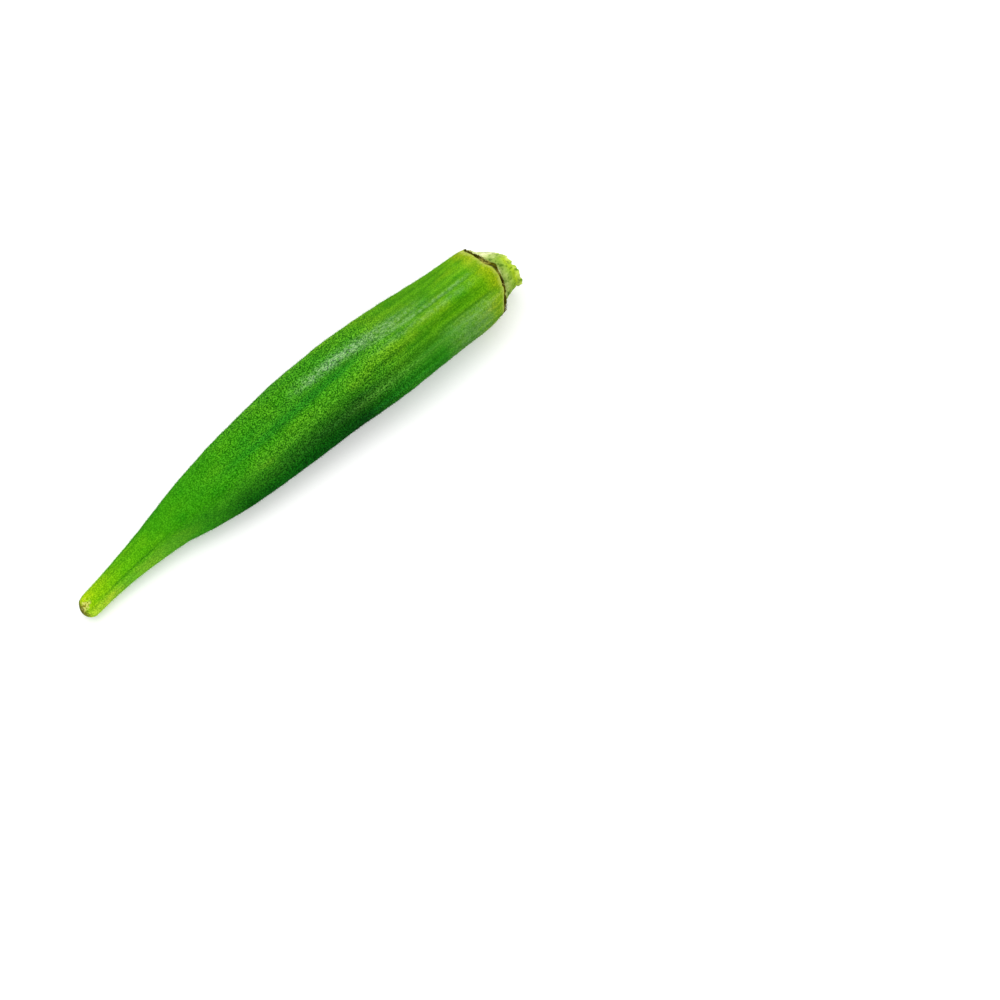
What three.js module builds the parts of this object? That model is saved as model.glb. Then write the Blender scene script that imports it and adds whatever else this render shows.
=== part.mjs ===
// Okra pod, lying as picked: a long five-ridged capsule that narrows to a beak, and the cap of
// stem tissue left on its broad end. Millimetres. +X runs from the beak's tip to the stem and
// +Z is up. The pod lies on low stretches of its ridges, worn flat where they touch.
import * as THREE from "three";

// Driving dimensions
const POD_LENGTH = 118.7; // beak tip to the middle of the stem scar
const RIDGE_RADIUS = 10.5; // centre line to a ridge at the widest place
const NOSE = 2.2; // length of the rounded end of the beak
const SHOULDER = 3; // length over which the broad end rounds in
const SHOULDER_IN = 0.035; // share of the radius that it rounds in by
const END_SLOPE = 0.23; // slope of the scar: its top stands further out than its foot
const END_SKEW = 0.05; // slope of the scar to the side: its +Y side stands further out
const END_FADE = 12; // length over which the slope and the notches grow
const END_DOME = 0.6; // rise of the broad end under the cap
const CAP_GAP = 0.3; // left clear between the pod and its cap
const CAP_BASE_RADIUS = 8.3;
const CAP_LENGTH = 7.1;
const CUT_SKEW = -0.08; // slope of the cut to the side: its -Y side stands further out
const CUT_HOLLOW = 0.6; // how far the pith has shrunk back
const CUT_TORN = 0.35; // height of the torn peaks round the cut
const CONTACT = 0.16; // depth worn off where the pod lies on the ground

// The five ridges, counted up from the one on top, in degrees round the centre line. Zero is
// level with the centre line on the -Y side, 90 is straight up.
const TOP_RIDGE = 68.5;
const RIDGES = [0, 77, 160, 232.5, 289.5, 360];
const NOTCHES = [1.0, 0.6, 0.5, 0.5, -0.2]; // how far the skin stops short between two ridges
const NOTCH_SHARPNESS = 4;
const RIDGE_SHARPNESS = 1.3;
const EVEN_SPACING = 72;

// Sections that the pod passes through smoothly. along is a share of POD_LENGTH, crest a share
// of RIDGE_RADIUS and valley the depth between two ridges as a share of the crest radius. turn
// twists the ridges, in degrees. side and drop move the centre line to -Y and down, in mm.
const SECTIONS = [
  { along: 0.0, crest: 0.24, valley: 0.02, turn: -20, side: 1.75, drop: 6.1 },
  { along: 0.018, crest: 0.263, valley: 0.03, turn: -20, side: 1.5, drop: 5.95 },
  { along: 0.076, crest: 0.299, valley: 0.05, turn: -18, side: 0.85, drop: 5.15 },
  { along: 0.152, crest: 0.383, valley: 0.08, turn: -16, side: 0.25, drop: 4.05 },
  { along: 0.2325, crest: 0.53, valley: 0.1, turn: -14, side: -0.15, drop: 2.75 },
  { along: 0.293, crest: 0.684, valley: 0.125, turn: -12, side: 0.0, drop: 1.85 },
  { along: 0.354, crest: 0.794, valley: 0.145, turn: -11, side: 0.25, drop: 1.1 },
  { along: 0.43, crest: 0.871, valley: 0.16, turn: -9, side: 0.5, drop: 0.53 },
  { along: 0.516, crest: 0.928, valley: 0.16, turn: -6, side: 0.55, drop: 0.18 },
  { along: 0.637, crest: 0.981, valley: 0.16, turn: 0, side: 0.8, drop: 0.04 },
  { along: 0.738, crest: 1.0, valley: 0.15, turn: 5, side: 1.6, drop: 0.02 },
  { along: 0.839, crest: 0.967, valley: 0.13, turn: 8, side: 2.25, drop: 0.04 },
  { along: 0.925, crest: 0.93, valley: 0.11, turn: 9, side: 2.65, drop: 0.18 },
  { along: 0.976, crest: 0.913, valley: 0.09, turn: 8.5, side: 2.6, drop: 0.3 },
  { along: 1.0, crest: 0.9, valley: 0.08, turn: 8.5, side: 2.5, drop: 0.4 },
];

// The cap's outline from its base on the pod to the cut: along is a share of CAP_LENGTH, wide a
// share of CAP_BASE_RADIUS and lean how far the stem has bent to the -Y side, in mm.
const CAP_OUTLINE = [
  { along: 0.0, wide: 1.0, lean: 0.0 },
  { along: 0.05, wide: 0.985, lean: 0.0 },
  { along: 0.19, wide: 0.91, lean: 0.02 },
  { along: 0.33, wide: 0.8, lean: 0.15 },
  { along: 0.51, wide: 0.72, lean: 0.15 },
  { along: 0.75, wide: 0.63, lean: 0.5 },
  { along: 0.9, wide: 0.56, lean: 1.0 },
  { along: 1.0, wide: 0.52, lean: 1.7 },
];
const LEAN_DROP = 0.35; // how much of the stem's lean is downward
const CAP_LOBES = 0.035; // swell of the cap below each ridge, as a share of its radius

// Mesh density
const STEPS_PER_FACET = 12;
const CROWDING = 0.55; // how far the steps crowd to the ridges, 0 to 1
const NOSE_STEPS = 5;
const BODY_STEPS = 44;
const SHOULDER_STEPS = 6;
const END_STEPS = 3;
const CAP_STEPS = 9;

const radians = THREE.MathUtils.degToRad;
const { clamp, lerp, smoothstep } = THREE.MathUtils;

// A smooth curve through one column of a table: cubic between rows, its slope at each row the
// slope between the rows either side.
function curve(rows, column) {
  const at = rows.map((row) => row.along);
  const value = rows.map((row) => row[column]);
  const last = rows.length - 1;
  const slope = value.map((_, i) => {
    const before = Math.max(i - 1, 0);
    const after = Math.min(i + 1, last);
    return (value[after] - value[before]) / (at[after] - at[before]);
  });
  return (share) => {
    const x = clamp(share, at[0], at[last]);
    let i = 0;
    while (i < last - 1 && x >= at[i + 1]) i += 1;
    const h = at[i + 1] - at[i];
    const t = (x - at[i]) / h;
    const s = 1 - t;
    const ends = (1 + 2 * t) * s * s * value[i] + t * t * (3 - 2 * t) * value[i + 1];
    return ends + t * s * h * (s * slope[i] - t * slope[i + 1]);
  };
}

const crest = curve(SECTIONS, "crest");
const valley = curve(SECTIONS, "valley");
const turn = curve(SECTIONS, "turn");
const side = curve(SECTIONS, "side");
const drop = curve(SECTIONS, "drop");
const capWide = curve(CAP_OUTLINE, "wide");
const capLean = curve(CAP_OUTLINE, "lean");

// The directions round the pod: one facet after another, each with its steps crowded to the
// ridges at its two ends. angle is counted up from the top ridge.
function directionsRound() {
  const found = [];
  for (let facet = 0; facet < RIDGES.length - 1; facet += 1) {
    const span = RIDGES[facet + 1] - RIDGES[facet];
    for (let step = 0; step < STEPS_PER_FACET; step += 1) {
      const even = step / STEPS_PER_FACET;
      const across = even - (CROWDING * Math.sin(2 * Math.PI * even)) / (2 * Math.PI);
      const ridge = ((1 + Math.cos(2 * Math.PI * across)) / 2) ** RIDGE_SHARPNESS;
      const hollow = (1 - ridge) * (span / EVEN_SPACING) ** 2;
      const notch = NOTCHES[facet] * (1 - ridge ** NOTCH_SHARPNESS);
      found.push({ angle: RIDGES[facet] + span * across, ridge, hollow, notch });
    }
  }
  return found;
}
const ROUND = directionsRound();

// Radius of the ridges at a place along the pod, with its rounded nose and shoulder.
function crestRadius(x) {
  const nose = Math.min(x / NOSE, 1);
  const shoulder = clamp((x - (POD_LENGTH - SHOULDER)) / SHOULDER, 0, 1);
  const roundedIn = 1 - SHOULDER_IN * (1 - Math.sqrt(1 - shoulder ** 2));
  return RIDGE_RADIUS * crest(x / POD_LENGTH) * Math.sqrt(nose * (2 - nose)) * roundedIn;
}

// A point of the centre line.
function centreAt(x) {
  return new THREE.Vector3(x, -side(x / POD_LENGTH), -drop(x / POD_LENGTH));
}

// What leads off the centre line, a radius long, at an angle round it.
function outwards(radius, degrees) {
  const angle = radians(degrees);
  return new THREE.Vector3(0, -radius * Math.cos(angle), radius * Math.sin(angle));
}

// How far along the sloping scar stands at a place off the centre line.
function endSlope(offCentre) {
  return END_SLOPE * offCentre.z + END_SKEW * offCentre.y;
}

// One ring of the pod's skin. Towards the stem the rings come to lie along the sloping scar, and
// the skin runs further at the ridges.
function podRing(x) {
  const share = x / POD_LENGTH;
  const radius = crestRadius(x);
  const grown = smoothstep(x, POD_LENGTH - END_FADE, POD_LENGTH);
  return ROUND.map(({ angle, hollow, notch }) => {
    const reach = radius * (1 - valley(share) * hollow);
    const offCentre = outwards(reach, TOP_RIDGE + turn(share) + angle);
    const point = centreAt(x).add(offCentre);
    point.x += grown * (endSlope(offCentre) - notch);
    return point;
  });
}

// One ring of the cap's flank. It starts with the outline of the scar and rounds off to the stem,
// which leans and ends in a torn cut.
function capRing(share) {
  const rounded = smoothstep(share, 0, 0.7);
  const bend = capLean(share);
  const centre = centreAt(POD_LENGTH);
  centre.x += CAP_GAP + CAP_LENGTH * share;
  centre.y -= bend * Math.sqrt(1 - LEAN_DROP ** 2);
  centre.z -= bend * LEAN_DROP;
  return ROUND.map(({ angle, ridge, hollow, notch }) => {
    const lobed = 1 - (valley(1) * hollow - CAP_LOBES * ridge) * (1 - rounded);
    const reach = CAP_BASE_RADIUS * capWide(share) * lobed;
    const offCentre = outwards(reach, TOP_RIDGE + turn(1) + angle);
    const point = centre.clone().add(offCentre);
    const torn = CUT_TORN * Math.sin(3 * radians(angle)) * Math.cos(2 * radians(angle));
    point.x += lerp(endSlope(offCentre), CUT_SKEW * offCentre.y, share);
    point.x += torn * share ** 3 - notch * (1 - rounded);
    return point;
  });
}

// A ring shrunk to a share of its size about its own middle, which stands out by rise. At share
// 0 it is one point.
function shrunk(ring, share, rise) {
  const middle = new THREE.Vector3();
  ring.forEach((point) => middle.add(point));
  middle.divideScalar(ring.length);
  return ring.map((point) => {
    const moved = middle.clone().lerp(point, share);
    moved.x += rise * (1 - share ** 2);
    return moved;
  });
}

// The rings that close an end, from its middle out to its rim, without the rim itself.
function endRings(rim, rise) {
  const rings = [];
  for (let i = 0; i < END_STEPS; i += 1) rings.push(shrunk(rim, i / END_STEPS, rise));
  return rings;
}

// A closed skin through a run of rings. The first and the last ring are single points.
function loft(rings) {
  const count = ROUND.length;
  const inner = rings.slice(1, -1);
  const points = [rings[0][0], ...inner.flat(), rings.at(-1)[0]];
  const corner = (row, step) => 1 + row * count + (step % count);
  const faces = [];
  for (let step = 0; step < count; step += 1) {
    faces.push(0, corner(0, step), corner(0, step + 1));
    for (let row = 0; row < inner.length - 1; row += 1) {
      const near = [corner(row, step), corner(row, step + 1)];
      const far = [corner(row + 1, step), corner(row + 1, step + 1)];
      faces.push(near[0], far[0], near[1], near[1], far[0], far[1]);
    }
    const end = inner.length - 1;
    faces.push(points.length - 1, corner(end, step + 1), corner(end, step));
  }
  const geometry = new THREE.BufferGeometry().setFromPoints(points);
  geometry.setIndex(faces);
  return geometry;
}

function podGeometry() {
  const rings = [];
  const bodyEnd = POD_LENGTH - SHOULDER;
  for (let i = 0; i <= NOSE_STEPS; i += 1) {
    rings.push(podRing(NOSE * (1 - Math.cos((i / NOSE_STEPS) * (Math.PI / 2)))));
  }
  for (let i = 1; i <= BODY_STEPS; i += 1) {
    rings.push(podRing(lerp(NOSE, bodyEnd, i / BODY_STEPS)));
  }
  for (let i = 1; i <= SHOULDER_STEPS; i += 1) {
    rings.push(podRing(bodyEnd + SHOULDER * Math.sin((i / SHOULDER_STEPS) * (Math.PI / 2))));
  }
  return loft([...rings, ...endRings(rings.at(-1), END_DOME).reverse()]);
}

function capGeometry() {
  const rings = [];
  for (let i = 0; i <= CAP_STEPS; i += 1) rings.push(capRing(i / CAP_STEPS));
  const base = endRings(rings[0], END_DOME);
  const cut = endRings(rings.at(-1), -CUT_HOLLOW).reverse();
  return loft([...base, ...rings, ...cut]);
}

// Sets both skins down: the ground comes up to the pod's lowest stretches by CONTACT and wears
// them flat, and the origin goes to the middle of the whole pod's footprint.
function layDown(pod, cap) {
  pod.computeBoundingBox();
  const ground = pod.boundingBox.min.z + CONTACT;
  pod.translate(0, 0, -ground);
  cap.translate(0, 0, -ground);
  const place = pod.getAttribute("position");
  for (let i = 0; i < place.count; i += 1) place.setZ(i, Math.max(place.getZ(i), 0));
  pod.computeBoundingBox();
  cap.computeBoundingBox();
  const middle = pod.boundingBox.clone().union(cap.boundingBox).getCenter(new THREE.Vector3());
  [pod, cap].forEach((skin) => skin.translate(-middle.x, -middle.y, 0).computeVertexNormals());
}

function named(name, geometry, color, roughness) {
  const material = new THREE.MeshStandardMaterial({ color, roughness, metalness: 0 });
  const mesh = new THREE.Mesh(geometry, material);
  mesh.name = name;
  return mesh;
}

const podSkin = podGeometry();
const capSkin = capGeometry();
layDown(podSkin, capSkin);

const okra = new THREE.Group();
okra.add(named("pod", podSkin, 0x3a8a12, 0.55));
okra.add(named("stem_cap", capSkin, 0xa9c46a, 0.7));

export default okra;
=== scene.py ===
"""Okra pod, lying as picked: the finished skin, its hairs, the scar and the cap of stem tissue."""
import math

import bpy
import numpy as np
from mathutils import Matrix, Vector


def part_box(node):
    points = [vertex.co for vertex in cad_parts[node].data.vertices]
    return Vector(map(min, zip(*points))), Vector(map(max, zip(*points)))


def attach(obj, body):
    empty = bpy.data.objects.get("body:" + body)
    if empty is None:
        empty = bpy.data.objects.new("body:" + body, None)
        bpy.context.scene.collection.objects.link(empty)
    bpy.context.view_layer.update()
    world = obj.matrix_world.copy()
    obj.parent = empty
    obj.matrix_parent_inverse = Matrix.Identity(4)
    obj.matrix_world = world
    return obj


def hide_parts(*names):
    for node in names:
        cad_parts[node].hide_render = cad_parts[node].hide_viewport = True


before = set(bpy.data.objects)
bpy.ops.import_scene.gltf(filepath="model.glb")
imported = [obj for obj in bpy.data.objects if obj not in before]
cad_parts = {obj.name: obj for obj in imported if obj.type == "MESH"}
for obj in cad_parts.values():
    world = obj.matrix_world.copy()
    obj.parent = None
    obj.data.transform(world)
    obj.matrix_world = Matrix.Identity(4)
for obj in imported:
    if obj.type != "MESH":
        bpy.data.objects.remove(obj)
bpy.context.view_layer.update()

POD_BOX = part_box("pod")
MM = 0.001

# ---------------------------------------------------------------- driving dimensions, millimetres
POD_LENGTH = 118.7  # beak tip to the middle of the stem scar
RIDGE_RADIUS = 10.5  # centre line to a ridge at the widest place
NOSE = 2.2  # length of the rounded end of the beak
SHOULDER = 3  # length over which the broad end rounds in
SHOULDER_IN = 0.035  # share of the radius that it rounds in by
END_SLOPE = 0.23  # slope of the scar: its top stands further out than its foot
END_SKEW = 0.05  # slope of the scar to the side: its +Y side stands further out
END_FADE = 12  # length over which the slope and the notches grow
END_DOME = 0.6  # rise of the broad end under the cap
CAP_GAP = 0.3  # left clear between the pod and its cap
CAP_BASE_RADIUS = 8.3
CAP_LENGTH = 7.1
CUT_SKEW = -0.08  # slope of the cut to the side: its -Y side stands further out
CUT_HOLLOW = 0.6  # how far the pith has shrunk back
CUT_TORN = 0.35  # height of the torn peaks round the cut
LEAN_DROP = 0.35  # how much of the stem's lean is downward
CAP_LOBES = 0.035  # swell of the cap below each ridge, as a share of its radius

# The five ridges, counted up from the one on top, in degrees round the centre line. Zero is
# level with the centre line on the -Y side, 90 is straight up.
TOP_RIDGE = 68.5
RIDGES = [0, 77, 160, 232.5, 289.5, 360]
FACETS = len(RIDGES) - 1
NOTCHES = [1.0, 0.6, 0.5, 0.5, -0.2]  # how far the skin stops short between two ridges
NOTCH_SHARPNESS = 4
CORNER_NOTCH = (0.55, 8, 12)  # beside the top corner: mm, and where and how wide in degrees
FOOT_NOTCH = 1.05  # how much further the skin stops short at the scar's foot
FOOT_REACH = (36, 60, 95, 140)  # degrees down from the top ridge: starts, full, fades, over
RIDGE_SHARPNESS = 1.3
EVEN_SPACING = 72

# Sections that the pod passes through smoothly: the share of its length, the crest as a share of
# RIDGE_RADIUS, the valley's depth as a share of the crest, the ridges' turn in degrees, and how
# far the centre line is moved to -Y and down, in mm.
SECTIONS = np.array([
    # along crest valley turn side drop
    (0.0, 0.24, 0.02, -20, 1.75, 6.1),
    (0.018, 0.263, 0.03, -20, 1.5, 5.95),
    (0.076, 0.299, 0.05, -18, 0.85, 5.15),
    (0.152, 0.383, 0.08, -16, 0.25, 4.05),
    (0.2325, 0.53, 0.1, -14, -0.15, 2.75),
    (0.293, 0.684, 0.125, -12, 0.0, 1.85),
    (0.354, 0.794, 0.145, -11, 0.25, 1.1),
    (0.43, 0.871, 0.16, -9, 0.5, 0.53),
    (0.516, 0.928, 0.16, -6, 0.55, 0.18),
    (0.637, 0.981, 0.16, 0, 0.8, 0.04),
    (0.738, 1.0, 0.15, 5, 1.6, 0.02),
    (0.839, 0.967, 0.13, 8, 2.25, 0.04),
    (0.925, 0.93, 0.11, 9, 2.65, 0.18),
    (0.976, 0.913, 0.09, 8.5, 2.6, 0.3),
    (1.0, 0.9, 0.08, 8.5, 2.5, 0.4),
])

# How much further out the skin stands on its +Y side than its sections say: the share of the
# pod's length, and mm.
FULLER = np.array([
    # along out
    (0.0, 0.0),
    (0.08, -0.2),
    (0.19, -0.22),
    (0.235, -0.4),
    (0.28, -0.56),
    (0.325, -0.4),
    (0.37, -0.12),
    (0.41, 0.06),
    (0.47, 0.4),
    (0.55, 0.74),
    (0.63, 0.46),
    (0.70, 0.34),
    (0.77, 0.32),
    (0.85, 0.02),
    (0.90, -0.27),
    (0.95, -0.52),
    (1.0, -0.7),
])
FULLER_AT = 160  # the middle of that strip of skin, in degrees round the pod
FULLER_WIDTH = 24

# The cap from its base on the pod to the cut: the share of CAP_LENGTH, the width as a share of
# CAP_BASE_RADIUS, and how far the stem has bent to the -Y side, in mm.
CAP_OUTLINE = np.array([
    # along wide lean
    (0.0, 1.0, 0.0),
    (0.05, 0.985, 0.0),
    (0.19, 0.91, 0.02),
    (0.33, 0.8, 0.15),
    (0.51, 0.72, 0.15),
    (0.75, 0.63, 0.5),
    (0.9, 0.56, 1.0),
    (1.0, 0.52, 1.7),
])

# ---------------------------------------------------------------- camera
CAMERA_PLACE = Vector((-0.13648, -0.21917, 0.58349))
CAMERA_AZIMUTH = -42.124
CAMERA_ELEVATION = 67.614
CAMERA_LENS = 100  # mm, on a sensor 36 mm wide


def make_camera():
    """A long lens looking down on the pod."""
    around, above = math.radians(CAMERA_AZIMUTH), math.radians(CAMERA_ELEVATION)
    back = Vector((
        math.sin(around) * math.cos(above),
        -math.cos(around) * math.cos(above),
        math.sin(above),
    ))
    data = bpy.data.cameras.new("camera")
    data.lens = CAMERA_LENS
    data.sensor_width = 36
    data.clip_start = 0.01
    data.clip_end = 20
    camera = bpy.data.objects.new("camera", data)
    camera.location = CAMERA_PLACE
    camera.rotation_euler = (-back).to_track_quat("-Z", "Y").to_euler()
    bpy.context.scene.collection.objects.link(camera)
    bpy.context.scene.camera = camera


make_camera()


# ---------------------------------------------------------------- small helpers for shapes
def smoothstep(value, low, high):
    share = np.clip((value - low) / (high - low), 0, 1)
    return share * share * (3 - 2 * share)


def within(value, start, full, fade, end):
    """One between full and fade, and falling off smoothly to nothing at start and at end."""
    return smoothstep(value, start, full) * (1 - smoothstep(value, fade, end))


def bell(distance, width):
    """One at no distance, falling off smoothly over about a width."""
    return np.exp(-((distance / width) ** 2))


def half_turn(degrees):
    """The same angles, written between -180 and 180."""
    return (degrees + 180) % 360 - 180


def curve(rows, column):
    """A smooth curve through one column of a table: cubic between rows, its slope at each row
    the slope between the rows either side."""
    at, value = rows[:, 0], rows[:, column]
    last = len(at) - 1
    before = np.maximum(np.arange(last + 1) - 1, 0)
    after = np.minimum(np.arange(last + 1) + 1, last)
    slope = (value[after] - value[before]) / (at[after] - at[before])

    def read(share):
        x = np.clip(share, at[0], at[-1])
        i = np.clip(np.searchsorted(at, x, side="right") - 1, 0, last - 1)
        h = at[i + 1] - at[i]
        t = (x - at[i]) / h
        s = 1 - t
        ends = (1 + 2 * t) * s * s * value[i] + t * t * (3 - 2 * t) * value[i + 1]
        return ends + t * s * h * (s * slope[i] - t * slope[i + 1])

    return read


RIPPLE_WAVES = 18


def ripples(places, size, seed):
    """Smooth random unevenness between about -1 and 1, with bumps of the given size, at an array
    of places whose last axis is x, y, z."""
    draw = np.random.default_rng(seed)
    way = draw.normal(size=(RIPPLE_WAVES, 3))
    way /= np.linalg.norm(way, axis=1, keepdims=True)
    rate = math.pi / size * draw.uniform(0.6, 1.5, RIPPLE_WAVES)
    shift = draw.uniform(0, 2 * math.pi, RIPPLE_WAVES)
    total = np.zeros(places.shape[:-1])
    for one_way, one_rate, one_shift in zip(way, rate, shift):
        total += np.sin(places @ one_way * one_rate + one_shift)
    return total * math.sqrt(2 / RIPPLE_WAVES) / 1.6


crest = curve(SECTIONS, 1)
valley = curve(SECTIONS, 2)
turn = curve(SECTIONS, 3)
side = curve(SECTIONS, 4)
drop = curve(SECTIONS, 5)
fuller = curve(FULLER, 1)
cap_wide = curve(CAP_OUTLINE, 1)
cap_lean = curve(CAP_OUTLINE, 2)


# ---------------------------------------------------------------- the pod's form
class Round:
    """The directions round the pod, facet after facet. angle is counted up from the top ridge,
    in degrees; across runs from 0 to 1 between two ridges."""

    def __init__(self, steps_per_facet):
        step = np.tile(np.arange(steps_per_facet), FACETS)
        self.facet = np.repeat(np.arange(FACETS), steps_per_facet)
        even = step / steps_per_facet
        crowding = 0.35  # how much closer together the directions are by the ridges
        self.across = even - crowding * np.sin(2 * math.pi * even) / (2 * math.pi)
        self.span = np.diff(RIDGES)[self.facet]
        self.angle = np.array(RIDGES)[self.facet] + self.span * self.across
        self.ridge = ((1 + np.cos(2 * math.pi * self.across)) / 2) ** RIDGE_SHARPNESS
        self.hollow = (1 - self.ridge) * (self.span / EVEN_SPACING) ** 2
        self.notch = np.array(NOTCHES)[self.facet] * (1 - self.ridge**NOTCH_SHARPNESS)
        foot = within(360 - self.angle, *FOOT_REACH)
        depth, place, width = CORNER_NOTCH
        corner = bell(half_turn(self.angle - place), width)
        self.notch = self.notch + FOOT_NOTCH * foot + depth * corner
        self.count = len(step)


def crest_radius(x):
    """Radius of the ridges at a place along the pod, with its rounded nose and shoulder."""
    nose = np.minimum(x / NOSE, 1)
    shoulder = np.clip((x - (POD_LENGTH - SHOULDER)) / SHOULDER, 0, 1)
    rounded_in = 1 - SHOULDER_IN * (1 - np.sqrt(1 - shoulder**2))
    return RIDGE_RADIUS * crest(x / POD_LENGTH) * np.sqrt(nose * (2 - nose)) * rounded_in


def centre_at(x):
    return np.stack([x, -side(x / POD_LENGTH), -drop(x / POD_LENGTH)], axis=-1)


def outwards(degrees):
    """Unit vectors square to the pod's length, at an angle round it."""
    angle = np.radians(degrees)
    return np.stack([np.zeros_like(angle), -np.cos(angle), np.sin(angle)], axis=-1)


def round_the_pod(share, way):
    """Degrees round the pod of each direction of way, at each share of the length."""
    return TOP_RIDGE + turn(share) + way.angle


def end_slope(off_centre):
    """How far along the sloping scar stands at places off the centre line."""
    return END_SLOPE * off_centre[..., 2] + END_SKEW * off_centre[..., 1]


def pod_surface(x, way, raised=0.0):
    """Points of the skin at each place x, for each direction of way, raised by an amount."""
    x = np.asarray(x, float)[:, None]
    share = x / POD_LENGTH
    reach = crest_radius(x) * (1 - valley(share) * way.hollow) + raised
    off_centre = outwards(round_the_pod(share, way)) * reach[..., None]
    points = centre_at(x) + off_centre
    grown = smoothstep(x, POD_LENGTH - END_FADE, POD_LENGTH)
    points[..., 0] += grown * (end_slope(off_centre) - way.notch)
    return points


def fuller_side(share, way):
    """How much further out the skin stands at each share of the length, for each direction."""
    return fuller(share) * bell(round_the_pod(share, way) - FULLER_AT, FULLER_WIDTH)


def pod_rim(way):
    """The edge of the pod's broad end."""
    end = np.array([POD_LENGTH])
    return pod_surface(end, way, fuller_side(1, way))[0]


def cap_surface(share, way, raised=0.0, torn=0.0):
    """Points of the cap's flank at each share of its length, for each direction of way."""
    share = np.asarray(share, float)[:, None]
    rounded = smoothstep(share, 0, 0.7)
    bend = cap_lean(share)
    centre = centre_at(np.full_like(share, POD_LENGTH))
    centre = centre + np.stack([
        CAP_GAP + CAP_LENGTH * share,
        -bend * math.sqrt(1 - LEAN_DROP**2),
        -bend * LEAN_DROP,
    ], axis=-1)
    lobed = 1 - (valley(1) * way.hollow - CAP_LOBES * way.ridge) * (1 - rounded)
    reach = CAP_BASE_RADIUS * cap_wide(share) * lobed + raised
    off_centre = outwards(round_the_pod(1, way)) * reach[..., None]
    points = centre + off_centre
    angle = np.radians(way.angle)
    peaks = CUT_TORN * np.sin(3 * angle) * np.cos(2 * angle)
    points[..., 0] += end_slope(off_centre) * (1 - share) + CUT_SKEW * off_centre[..., 1] * share
    points[..., 0] += (peaks + torn) * share**3
    points[..., 0] -= way.notch * (1 - rounded)
    return points


def laid_down():
    """What moves the form's own millimetres to the frame's: the beak's tip, the middle of the
    width and the highest point of the pod are the frame's."""
    way = Round(steps_per_facet=12)
    whole = pod_surface(np.linspace(0, POD_LENGTH, num=300), way).reshape(-1, 3)
    low, high = whole.min(axis=0), whole.max(axis=0)
    return np.array([
        POD_BOX[0].x / MM - low[0],
        (POD_BOX[0].y + POD_BOX[1].y) / 2 / MM - (low[1] + high[1]) / 2,
        POD_BOX[1].z / MM - high[2],
    ])


TO_FRAME = laid_down()


def in_frame(points):
    """Points in the frame's metres. Nothing reaches below the surface that the pod lies on."""
    placed = (np.asarray(points) + TO_FRAME) * MM
    placed[..., 2] = np.maximum(placed[..., 2], 0)
    return placed


# ---------------------------------------------------------------- small helpers for meshes
def tube_faces(rows, columns):
    """Quads of rings joined row to row, and fans from one point before and one after them."""
    row, column = np.meshgrid(np.arange(rows - 1), np.arange(columns), indexing="ij")
    after = (column + 1) % columns
    quads = np.stack([
        1 + row * columns + column,
        1 + (row + 1) * columns + column,
        1 + (row + 1) * columns + after,
        1 + row * columns + after,
    ], axis=-1).reshape(-1, 4).tolist()
    first, last = 0, 1 + rows * columns
    near = [(first, 1 + i, 1 + (i + 1) % columns) for i in range(columns)]
    start = 1 + (rows - 1) * columns
    far = [(last, start + (i + 1) % columns, start + i) for i in range(columns)]
    return near + quads + far


def add_values(mesh, key, values):
    """Keeps a number or a vector for each point of a mesh, as a named attribute."""
    values = np.asarray(values, np.float32)
    kind, slot = ("FLOAT_VECTOR", "vector") if values.ndim == 2 else ("FLOAT", "value")
    mesh.attributes.new(key, kind, "POINT").data.foreach_set(slot, values.ravel())


def read_values(mesh, key):
    found = np.zeros(len(mesh.vertices), np.float32)
    mesh.attributes[key].data.foreach_get("value", found)
    return found


def mesh_piece(name, points, faces, values=None):
    """A new smooth-shaded piece from points in metres, with one named attribute for each entry
    of values."""
    mesh = bpy.data.meshes.new(name)
    mesh.from_pydata(np.asarray(points).reshape(-1, 3).tolist(), [], faces)
    for key, value in (values or {}).items():
        add_values(mesh, key, value)
    mesh.shade_smooth()
    mesh.update()
    piece = bpy.data.objects.new(name, mesh)
    bpy.context.scene.collection.objects.link(piece)
    return piece


def with_ends(grid, first, last):
    """A grid of rings as one list of points, between a first and a last single point."""
    return np.concatenate([[first], grid.reshape(-1, grid.shape[-1]), [last]])


def dress(piece, replaced=()):
    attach(piece, "root")
    if replaced:
        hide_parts(*replaced)


# ---------------------------------------------------------------- small helpers for materials
MIX_FIRST, MIX_SECOND, MIX_RESULT = 6, 7, 2  # the colour sockets of a Mix node


class Tree:
    """A node tree, with short calls that add nodes to it and feed their sockets."""

    def __init__(self, tree):
        self.tree = tree

    def node(self, kind, inputs=None, **settings):
        made = self.tree.nodes.new(kind)
        for key, value in settings.items():
            setattr(made, key, value)
        for key, value in (inputs or {}).items():
            self.feed(made.inputs[key], value)
        return made

    def feed(self, socket, value):
        if isinstance(value, bpy.types.NodeSocket):
            self.tree.links.new(value, socket)
        else:
            socket.default_value = value


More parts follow.
